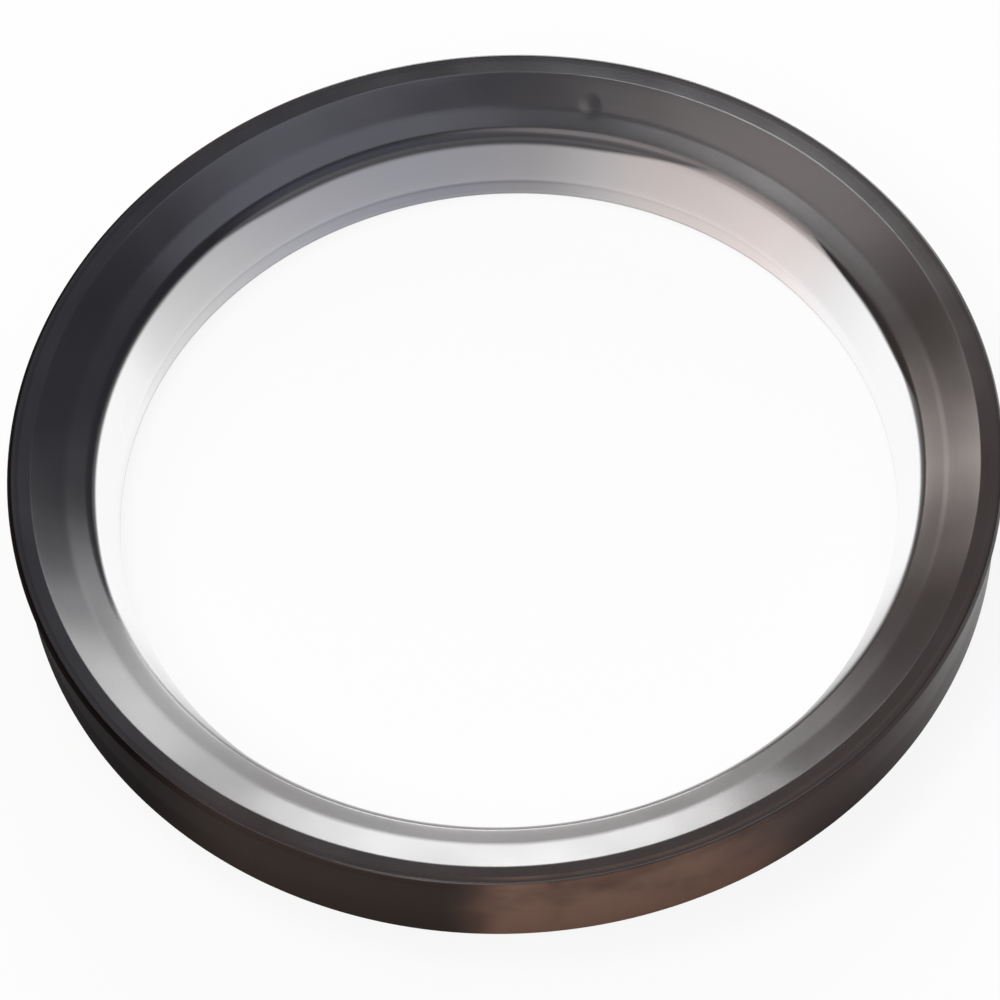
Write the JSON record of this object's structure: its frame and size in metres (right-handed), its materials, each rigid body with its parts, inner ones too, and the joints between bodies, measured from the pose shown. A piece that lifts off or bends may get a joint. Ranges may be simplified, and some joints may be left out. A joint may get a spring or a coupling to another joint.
{
  "type": "hydraulic cylinder seal",
  "caption": "One-piece black rubber lip seal ring for a hydraulic cylinder: flat heel, bore that widens upwards, dished top face and an outer lip with a narrow land.",
  "frame": {"origin": "centre of the heel face, on the bore's axis, at the level of the surface that the ring lies on", "axes": "+Z along the bore's axis, from the heel to the lip; X and Y are any two directions across the ring, which is the same all round"},
  "size_m": [0.1012, 0.1012, 0.0112],
  "materials": {
    "rubber": "smooth moulded black nitrile rubber with a glossy, lightly oiled surface"
  },
  "bodies": {
    "root": {"seal_ring": "rubber"}
  },
  "joints": []
}
